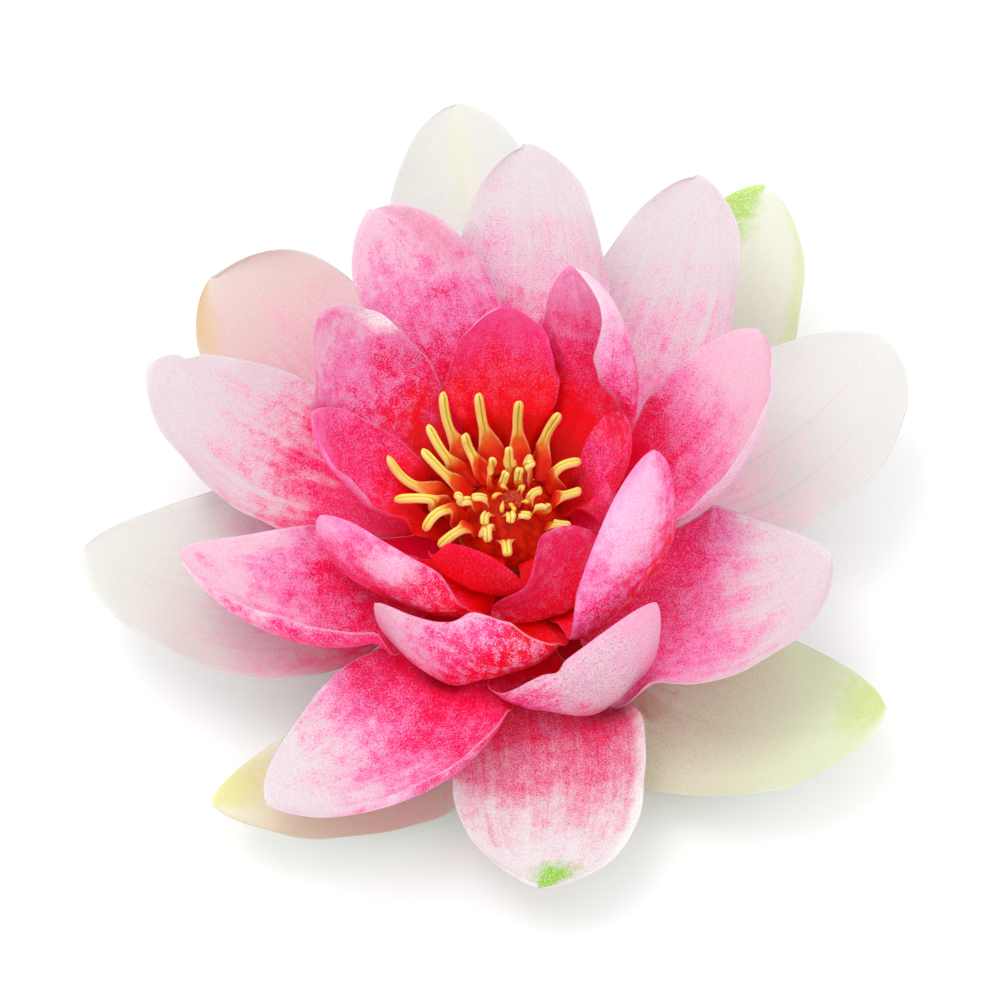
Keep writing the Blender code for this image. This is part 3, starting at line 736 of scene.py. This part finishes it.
def tinge_group():
    """A soft patch of another tint: strong at a place along and across the petal, 0 outside its lengths,
    and dotted all over with fine gaps."""
    tree, given = new_group("Petal tinge", ("INPUT", "Float", PATCH), ("OUTPUT", "Float", ["Mask"]))
    u, v, _ = place_on(tree)
    spot = spot_on(tree)
    x = maths(tree, "DIVIDE", maths(tree, "SUBTRACT", u, given["Along"]), given["Length"])
    y = maths(tree, "DIVIDE", maths(tree, "SUBTRACT", v, given["Across"]), given["Breadth"])
    gap = maths(tree, "SQRT", maths(tree, "ADD", product(tree, x, x), product(tree, y, y)))
    gap = shaken(tree, gap, clouded(tree, spot, 600.0, 5.0, Roughness=0.7), 1.2)
    gaps = eased(tree, clouded(tree, spot, 4000.0, 1.0), 0.46, 0.62, 0.5)
    mask = product(tree, remainder(tree, eased(tree, gap, 0.3, 1.1)), given["Strength"],
                   remainder(tree, gaps))
    return put_out(tree, Mask=mask)


pigment = pigment_group()
tinge = tinge_group()

def petal_finish(name, inside, outside, tinges, seed):
    """One petal's material. inside and outside give the colours (deep, pink, pale, tip) of a face,
    where the first three end along it, and anything about its pattern that isn't as usual. Each tinge
    is a tint and its patch, and shows on both faces."""
    finish, tree = new_finish(name)

    def face(colours, ends, other=()):
        """The pigment of one face. A socket that isn't given keeps its usual value."""
        values = {**dict(zip(FACE_COLOURS, colours)), **dict(zip(BORDERS, ends)), **USUAL, **dict(other)}
        return node(tree, "Group", {**values, "Seed": seed}, node_tree=pigment).outputs

    in_face = face(*inside)
    out_face = face(*outside)
    side = eased(tree, place_on(tree)[2], -0.25, 0.25)
    colour = mixed(tree, side, out_face["Color"], in_face["Color"])
    for tint, *patch in tinges:
        mask = node(tree, "Group", dict(zip(PATCH, patch)), node_tree=tinge).outputs["Mask"]
        colour = mixed(tree, mask, colour, tint)
    height = in_face["Height"]
    roughness = node(tree, "MapRange", {0: height, 1: -0.3, 2: 0.4, 3: 0.57, 4: 0.42}).outputs[0]
    return dressed(finish, colour, roughness, height, 0.35, GRAIN_DEPTH,
                   {"Specular IOR Level": DULL, "Subsurface Weight": 0.18,
                    "Subsurface Radius": (1.0, 0.35, 0.45), "Subsurface Scale": LIGHT_DEPTH * MM})


def petal(name, slot, inside, outside, tip, tinges=(), **shape):
    """Makes one petal or sepal in place of its CAD node. Its azimuth also picks its own streaks."""
    title = name.replace("_", " ").capitalize()
    finish = petal_finish(title, inside, outside, tinges, 0.37 * tip[0])
    blade = closed_skin(name + "_blade", [petal_rings(tip, **shape)], finish)
    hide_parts(name)


petal("inner_petal_front", "inner_petal_red",
    inside=((SCARLET, RED, CRIMSON, MAGENTA), (0.6, 0.8, 1.05), {"Patches": 0.0, "Grain": 0.4}),
    outside=((SCARLET, SCARLET, RED, CRIMSON), (0.5, 0.8, 0.95), {"Patches": 0.0, "Grain": 0.4}),
    tip=(246, 14.5, 26), rise=(-10, 100), width=18, seat=34, cup=(50, 50), belly=0.7)
petal("inner_petal_front_right", "inner_petal_red",
    inside=((RED, CRIMSON, MAGENTA, PINK), (0.6, 0.8, 1.0), {"Grain": 0.5}),
    outside=((RED, CRIMSON, MAGENTA, PINK), (0.42, 0.75, 1.05), {"Patches": 0.35, "Grain": 0.5}),
    tip=(296, 12.5, 28), rise=(-22, 105), width=23, seat=31, cup=(50, 50), blunt=0.7, belly=1.1)
petal("inner_petal_right", "inner_petal_red",
    inside=((CRIMSON, MAGENTA, MAGENTA, CRIMSON), (0.2, 0.5, 0.62), {"Slant": 0.1, "Patches": 0.35}),
    outside=((RED, RED, CRIMSON, MAGENTA), (0.3, 0.65, 1.0), {"Patches": 0.1, "Grain": 0.5}),
    tinges=(HEART,),
    tip=(8.5, 17.8, 36), rise=(40, 95), width=15, seat=38, cup=(50, 110), lean=1.35)
petal("inner_petal_back", "inner_petal_red",
    inside=((SCARLET, RED, MAGENTA, PINK), (0.44, 0.66, 0.86), {"Patches": 0.1, "Grain": 0.45}),
    outside=((CRIMSON, MAGENTA, PINK, ROSE), (0.3, 0.5, 0.85)),
    tinges=(HEART,),
    tip=(95, 21.5, 40), rise=(45, 85), width=19, seat=38, cup=(50, 50))
petal("inner_petal_left", "inner_petal_red",
    inside=((RED, MAGENTA, PINK, ROSE), (0.44, 0.82, 1.0), {"Patches": 0.15, "Grain": 0.6}),
    outside=((RED, CRIMSON, MAGENTA, PINK), (0.3, 0.55, 0.8), {"Patches": 0.3}),
    tinges=(HEART, (LILAC, 0.65, 1.0, 0.3, 0.25, 0.6)),
    tip=(172, 30.5, 36), rise=(30, 70), width=20.5, seat=32, cup=(95, 50), shift=23, neck=0.38,
    widest=0.5, lean=0.72)
petal("inner_petal_front_left", "inner_petal_red",
    inside=((SCARLET, CRIMSON, MAGENTA, PINK), (0.3, 0.55, 0.85)),
    outside=((RED, CRIMSON, MAGENTA, ROSE), (0.56, 0.72, 0.94), {"Patches": 0.4, "Clouds": 0.45}),
    tinges=((srgb(240, 204, 230), 0.76, 0.65, 0.13, 0.45, 0.8),
            (srgb(236, 190, 222), 0.97, 0.0, 0.07, 0.8, 0.6)),
    tip=(203, 31, 34), rise=(10, 70), width=29, seat=26, cup=(50, 50), blunt=0.4, shift=37, sway=8,
    twist=50, lean=0.82)


# ---- Fourth whorl ----
# Four upright petals outside the innermost ones, red at the base and rose at the tip. They are soft
# and fleshy, and grow from the receptacle just under the innermost ring.

petal("fourth_petal_right", "fourth_petal_rose",
    inside=((SCARLET, RED, CRIMSON, MAGENTA), (0.3, 0.5, 0.85)),
    outside=((SCARLET, MAGENTA, PINK, ROSE), (0.64, 0.74, 0.88),
             {"Slant": -0.2, "Patches": 0.4, "Clouds": 0.5}),
    tinges=((srgb(240, 204, 230), 0.84, -0.35, 0.2, 0.8, 0.8),),
    tip=(343, 22, 43), rise=(-10, 80), width=25, seat=22, cup=(50, 60), shift=-43, sway=-13, twist=-50,
    lean=0.9)
petal("fourth_petal_back", "fourth_petal_rose",
    inside=((RED, MAGENTA, ROSE, BLUSH), (0.46, 0.68, 1.0), {"Slant": -0.12, "Grain": 0.6}),
    outside=((RED, MAGENTA, ROSE, BLUSH), (0.42, 0.66, 0.84), {"Patches": 0.3}),
    tinges=((EMBER, 0.04, 0.0, 0.2, 3.0, 1.0),),
    tip=(67, 23.5, 50), rise=(40, 85), width=21.5, seat=30, cup=(50, 215), shift=-15, sway=-4.5,
    neck=0.3, widest=0.42, lean=1.75)
petal("fourth_petal_back_left", "fourth_petal_rose",
    inside=((RED, MAGENTA, ROSE, BLUSH), (0.4, 0.6, 0.9), {"Patches": 0.4, "Clouds": 0.7}),
    outside=((RED, MAGENTA, PINK, ROSE), (0.3, 0.6, 0.85), {"Patches": 0.4}),
    tinges=(HEART, (srgb(250, 248, 250), 0.8, -0.92, 0.12, 0.3, 1.0)),
    tip=(149.5, 34, 43.5), rise=(32, 75), width=24, seat=27, cup=(50, 70))
petal("fourth_petal_front_left", "fourth_petal_rose",
    inside=((SCARLET, RED, MAGENTA, PINK), (0.3, 0.55, 0.85)),
    outside=((RED, MAGENTA, PINK, BLUSH), (0.64, 0.74, 0.85), {"Patches": 0.6, "Clouds": 0.45}),
    tip=(225.5, 29, 23.5), rise=(4, 48), width=26, seat=15, cup=(50, 60), shift=62, sway=15, twist=72,
    widest=0.5, lean=0.95)


# ---- Third whorl ----
# Five leaning petals, magenta at the base and pink above, with a paler margin. They grow from the
# receptacle at about the middle of its side and pass between the petals inside them.

petal("third_petal_right", "third_petal_pink",
    inside=((CRIMSON, MAGENTA, ROSE, BLUSH), (0.3, 0.46, 0.68), {"Slant": -0.16, "Patches": 0.25}),
    outside=((MAGENTA, ROSE, BLUSH, BLUSH), (0.3, 0.5, 0.8), {"Patches": 0.3}),
    tip=(24, 41, 40), rise=(22, 60), width=27, seat=18, cup=(50, 95), sway=-8, blunt=1.2,
    bite=(-1, 0.93, 0.2, 0.03))
petal("third_petal_back_left", "third_petal_pink",
    inside=((CRIMSON, MAGENTA, ROSE, BLUSH), (0.32, 0.52, 0.78),
            {"Patches": 0.2, "Clouds": 0.7, "Streaks": 0.6, "Slant": -0.06}),
    outside=((MAGENTA, ROSE, BLUSH, BLUSH), (0.3, 0.5, 0.8)),
    tinges=((CERISE, 0.86, -0.65, 0.2, 0.4, 0.38),),
    tip=(119, 44, 41.5), rise=(28, 55), width=26, seat=18, cup=(50, 50), blunt=0.7, sway=-3, lean=0.88)
petal("third_petal_left", "third_petal_pink",
    inside=((CRIMSON, MAGENTA, ROSE, BLUSH), (0.34, 0.54, 0.78),
            {"Patches": 0.2, "Clouds": 0.6, "Streaks": 0.5}),
    outside=((RED, MAGENTA, PINK, BLUSH), (0.33, 0.76, 0.86), {"Patches": 0.3, "Clouds": 0.6}),
    tip=(196, 52, 27), rise=(12, 40), width=33, seat=14, cup=(110, 50), blunt=0.3, sway=9, lean=0.82)
petal("third_petal_front_right", "third_petal_pink",
    inside=((RED, MAGENTA, ROSE, BLUSH), (0.35, 0.55, 0.75)),
    outside=((MAGENTA, PINK, srgb(222, 200, 204), srgb(240, 164, 194)), (0.5, 0.62, 0.92),
             {"Patches": 0.2, "Clouds": 0.5}),
    tip=(312, 32, 28), rise=(-12, 70), width=28, seat=2, cup=(60, 50), shift=-36, sway=-18.5,
    twist=-65, lean=0.38, bite=(-1, 0.72, 0.2, 0.03))
petal("third_petal_back", "third_petal_pink",
    inside=((MAGENTA, PINK, BLUSH, WHITE), (0.24, 0.44, 0.72),
            {"Slant": -0.1, "Clouds": 0.6, "Streaks": 0.5, "Grain": 0.6}),
    outside=((PINK, ROSE, BLUSH, WHITE), (0.3, 0.5, 0.8)),
    tip=(88, 51, 42), rise=(28, 50), width=26.5, seat=16, cup=(50, 50), sway=-2)


# ---- Second whorl ----
# Four wide-open petals, pink at the base and nearly white at the tip. They grow from the lower half of
# the receptacle and lie close under the third whorl.

petal("second_petal_right", "second_petal_pink",
    inside=((CRIMSON, MAGENTA, ROSE, WHITE), (0.12, 0.5, 0.72), {"Slant": -0.08}),
    outside=((MAGENTA, PINK, BLUSH, WHITE), (0.3, 0.55, 0.75)),
    tip=(344, 50, 24), rise=(10, 40), width=36, seat=2, cup=(40, 60), blunt=0.8, sway=-9, lean=1.12)
petal("second_petal_back_right", "second_petal_pink",
    inside=((PINK, ROSE, BLUSH, WHITE), (0.12, 0.4, 0.64),
            {"Clouds": 0.5, "Streaks": 0.7, "Grain": 0.55}),
    outside=((PINK, ROSE, BLUSH, WHITE), (0.3, 0.5, 0.8)),
    tip=(60, 58, 35), rise=(18, 45), width=27, seat=6, cup=(45, 55), shift=-15, sway=-4)
petal("second_petal_left", "second_petal_pink",
    inside=((CRIMSON, MAGENTA, BLUSH, WHITE), (0.18, 0.5, 0.66),
            {"Clouds": 0.5, "Streaks": 0.5, "Grain": 0.6}),
    outside=((MAGENTA, ROSE, BLUSH, WHITE), (0.3, 0.5, 0.75)),
    tip=(160.5, 59, 27.5), rise=(12, 40), width=32, seat=4, cup=(50, 50), blunt=0.3, sway=3, neck=0.24,
    lean=0.85, bite=(-1, 0.94, 0.2, 0.02))
petal("second_petal_front_left", "second_petal_pink",
    inside=((CRIMSON, MAGENTA, ROSE, WHITE), (0.4, 0.61, 0.78)),
    outside=((CRIMSON, MAGENTA, ROSE, BLUSH), (0.4, 0.68, 0.82), {"Patches": 0.3, "Clouds": 0.6}),
    tip=(235, 63, 18), rise=(6, 25), width=31, seat=0, cup=(100, 40), blunt=0.6, sway=10, neck=0.28,
    lean=1.06)


# ---- Outer whorl ----
# Four large petals, the oldest and palest: white with a blush at the base, green-tinged at the tip.
# They grow below the others and spread nearly flat.

CREAM = srgb(222, 228, 220)
LEAF = srgb(136, 198, 18)
SMOOTH = {"Patches": 0.0, "Grain": 0.3}
PALE_BACK = ((BLUSH, BLUSH, CREAM, CREAM), (0.2, 0.3, 0.5))

petal("outer_petal_right", "outer_petal_blush",
    inside=((PINK, ROSE, srgb(252, 226, 232), srgb(224, 230, 224)), (0.18, 0.27, 0.5), SMOOTH),
    outside=PALE_BACK,
    tip=(25.5, 64.8, 22), rise=(5, 25), width=31, seat=-9, blunt=0.6, sway=-6, lean=1.25)
petal("outer_petal_back", "outer_petal_blush",
    inside=((ROSE, BLUSH, WHITE, CREAM), (0.2, 0.35, 0.6), SMOOTH),
    outside=PALE_BACK,
    tinges=((srgb(232, 236, 190), 0.9, 0.0, 0.3, 0.3, 0.3),),
    tip=(97, 75, 22), rise=(5, 25), width=30, seat=-9, blunt=0.6)
petal("outer_petal_front", "outer_petal_blush",
    inside=((srgb(244, 34, 74), srgb(234, 80, 116), srgb(230, 158, 172), WHITE), (0.42, 0.6, 0.76),
            {"Patches": 0.0, "Grain": 0.8, "Streaks": 0.6}),
    outside=((ROSE, BLUSH, CREAM, CREAM), (0.2, 0.3, 0.5)),
    tinges=((srgb(240, 240, 236), 0.68, 1.0, 0.42, 0.16, 0.8), (LEAF, 0.97, 0.25, 0.065, 0.55, 1.0)),
    tip=(273.5, 63, 12), rise=(0, 15), width=32, seat=-12, blunt=1.0, sway=3, neck=0.22)
petal("outer_petal_left", "outer_petal_blush",
    inside=((CRIMSON, srgb(248, 100, 144), BLUSH, CREAM), (0.22, 0.4, 0.58), SMOOTH),
    outside=PALE_BACK,
    tip=(187, 66, 18), rise=(3, 22), width=34, seat=-11, cup=(30, 40), blunt=0.2, sway=8, neck=0.2,
    lean=1.15)


# ---- Sepals ----
# Four sepals under the petals, thick and waxy, green-white with green tips and margins. Their backs
# carry the flower on the surface it lies on.

SAGE = srgb(210, 208, 182)
MOSS = srgb(196, 208, 118)
WAXY = {"Grain": 0.2, "Clouds": 0.25, "Patches": 0.0, "Veins": 0.6}
GREEN_BACK = ((MOSS, MOSS, SAGE, CREAM), (0.2, 0.4, 0.6), WAXY)

petal("sepal_back_right", "sepal_green_white",
    inside=((BLUSH, srgb(240, 244, 228), srgb(240, 246, 234), srgb(236, 244, 226)), (0.2, 0.3, 0.5),
            WAXY),
    outside=GREEN_BACK,
    tinges=((srgb(176, 220, 76), 0.96, 0.7, 0.24, 0.8, 0.9),
            (srgb(214, 232, 160), 0.7, -1.0, 0.4, 0.3, 0.7)),
    tip=(54.5, 70.5, 22), rise=(-32, 43), width=31, seat=-24, shift=-12, sway=-4)
petal("sepal_back_left", "sepal_green_white",
    inside=((srgb(250, 166, 192), srgb(250, 196, 206), srgb(244, 222, 220), srgb(234, 226, 216)),
            (0.4, 0.66, 0.86), WAXY),
    outside=GREEN_BACK,
    tinges=((srgb(238, 216, 150), 0.97, 0.75, 0.16, 0.5, 0.75),),
    tip=(140, 62.5, 21.5), rise=(-31, 44), width=27, seat=-24, blunt=1.2, widest=0.65, sway=-1,
    lean=1.3)
petal("sepal_front_left", "sepal_green_white",
    inside=((srgb(254, 160, 172), srgb(254, 236, 226), srgb(250, 246, 228), srgb(238, 242, 212)),
            (0.36, 0.46, 0.7), WAXY),
    outside=GREEN_BACK,
    tinges=((srgb(226, 230, 130), 0.98, -0.6, 0.16, 0.9, 0.7),),
    tip=(228, 66.5, 12), rise=(-23, 26), width=27, seat=-22, shift=10, sway=11, neck=0.24)
# The brownish deep colour at the base of this sepal's inner face is painted shade, from the petals that
# lie over it.
petal("sepal_front_right", "sepal_green_white",
    inside=((srgb(206, 146, 132), srgb(236, 238, 212), srgb(230, 240, 208), srgb(224, 238, 204)),
            (0.36, 0.5, 0.75), WAXY),
    outside=GREEN_BACK,
    tinges=((srgb(204, 220, 128), 0.99, 0.2, 0.13, 1.0, 0.8),),
    tip=(329, 65.4, 14), rise=(-29, 34), width=35, seat=-22, shift=-10, sway=-9.5, neck=0.24, lean=1.1)


# ---- Floor, light and camera ----
# A plain pale floor that the flower lies on, a white sky that gives most of the light, a large soft
# lamp overhead from the back left, and a camera that looks down. Places are in metres.

FLOOR_HALF = 3
SKY_STRENGTH = 1.12
LAMP_PLACE = np.array([-0.3, 0.1, 0.95])
LAMP_SIZE = 0.5
LAMP_POWER = 1.9
CAMERA_OFFSET = (-0.0019, -0.30945)     # from the flower's axis
CAMERA_HEIGHT = 0.5141
CAMERA_TILT = 32                        # degrees from straight down
CAMERA_LENS = 136.5                     # mm, on a sensor 36 mm wide

floor_mesh = bpy.data.meshes.new("floor")
floor_corners = [(-FLOOR_HALF, -FLOOR_HALF, 0), (FLOOR_HALF, -FLOOR_HALF, 0),
                 (FLOOR_HALF, FLOOR_HALF, 0), (-FLOOR_HALF, FLOOR_HALF, 0)]
floor_mesh.from_pydata(floor_corners, [], [(0, 1, 2, 3)])
floor_finish, floor_tree = new_finish("Floor white")
floor_shader = floor_tree.nodes["Principled BSDF"]
floor_shader.inputs["Base Color"].default_value = (0.96, 0.96, 0.96, 1)
floor_shader.inputs["Roughness"].default_value = 0.9
floor_mesh.materials.append(floor_finish)
floor = bpy.data.objects.new("floor", floor_mesh)
bpy.context.scene.collection.objects.link(floor)

world = bpy.data.worlds.new("Studio")
world.use_nodes = True
sky = world.node_tree.nodes["Background"]
sky.inputs["Color"].default_value = (1, 1, 1, 1)
sky.inputs["Strength"].default_value = SKY_STRENGTH
bpy.context.scene.world = world

lamp_data = bpy.data.lights.new("lamp", "AREA")
lamp_data.size = LAMP_SIZE
lamp_data.energy = LAMP_POWER
lamp = bpy.data.objects.new("lamp", lamp_data)
lamp.location = LAMP_PLACE
ahead_x, ahead_y, ahead_z = -LAMP_PLACE         # towards the flower
lamp.rotation_euler = (math.atan2(math.hypot(ahead_x, ahead_y), -ahead_z), 0,
                       math.atan2(ahead_x, -ahead_y) + math.pi)
bpy.context.scene.collection.objects.link(lamp)

camera_data = bpy.data.cameras.new("camera")
camera_data.sensor_width = 36
camera_data.lens = CAMERA_LENS
camera = bpy.data.objects.new("camera", camera_data)
camera.location = (AXIS[0] + CAMERA_OFFSET[0], AXIS[1] + CAMERA_OFFSET[1], CAMERA_HEIGHT)
camera.rotation_euler = (math.radians(CAMERA_TILT), 0, 0)
bpy.context.scene.collection.objects.link(camera)
bpy.context.scene.camera = camera
bpy.context.scene.view_settings.view_transform = "Standard"
